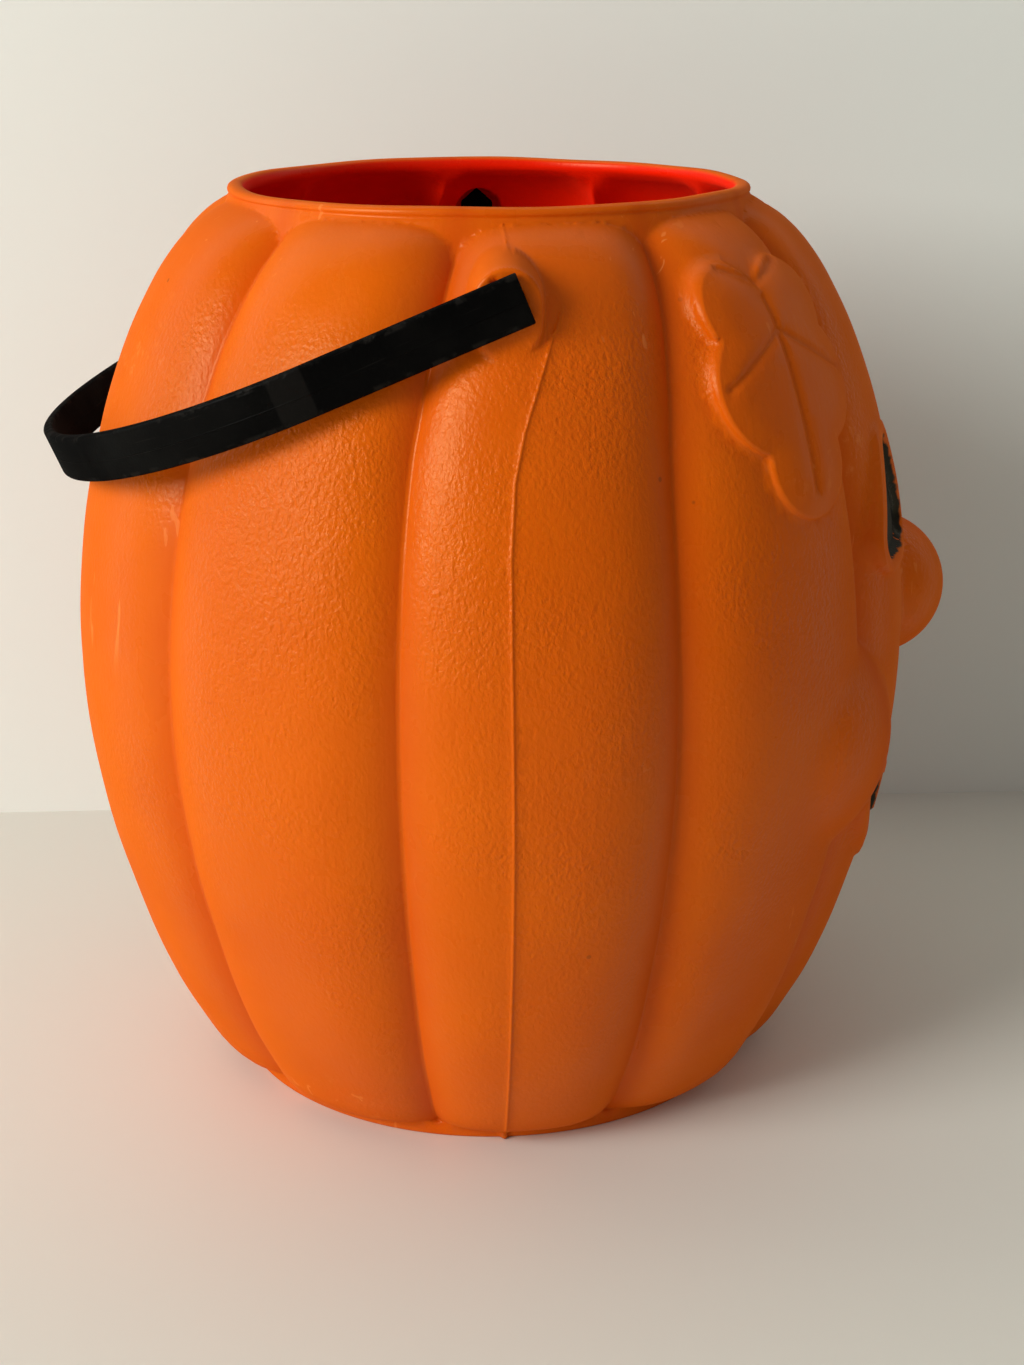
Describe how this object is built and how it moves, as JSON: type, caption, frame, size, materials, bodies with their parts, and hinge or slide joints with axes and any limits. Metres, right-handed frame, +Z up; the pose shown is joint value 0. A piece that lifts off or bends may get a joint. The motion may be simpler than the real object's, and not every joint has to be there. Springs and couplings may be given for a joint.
{
  "type": "pumpkin candy pail",
  "caption": "Ribbed pumpkin-shaped candy pail, blow-moulded with a raised face and leaves, open at the rim, with a flat strap handle that swings on snap-in pegs.",
  "frame": {"origin": "centre of the foot, on the table", "axes": "+Z up along the pail's axis, -Y the way the face looks, +X along the handle's hinge axis; the handle lies down to the back (+Y) at rest"},
  "size_m": [0.2158, 0.2338, 0.23],
  "materials": {
    "shell": "orange blow-moulded plastic with a leathery satin grain",
    "strap": "black satin moulded plastic"
  },
  "bodies": {
    "pail": {"pail_shell": "shell"},
    "handle": {"strap_handle": "strap"}
  },
  "joints": [
    {"name": "handle_swing", "type": "hinge", "parent": "pail", "child": "handle", "pos_m": [0, 0, 0.2123], "axis": [1, 0, 0], "range_deg": [0, 225]}
  ]
}
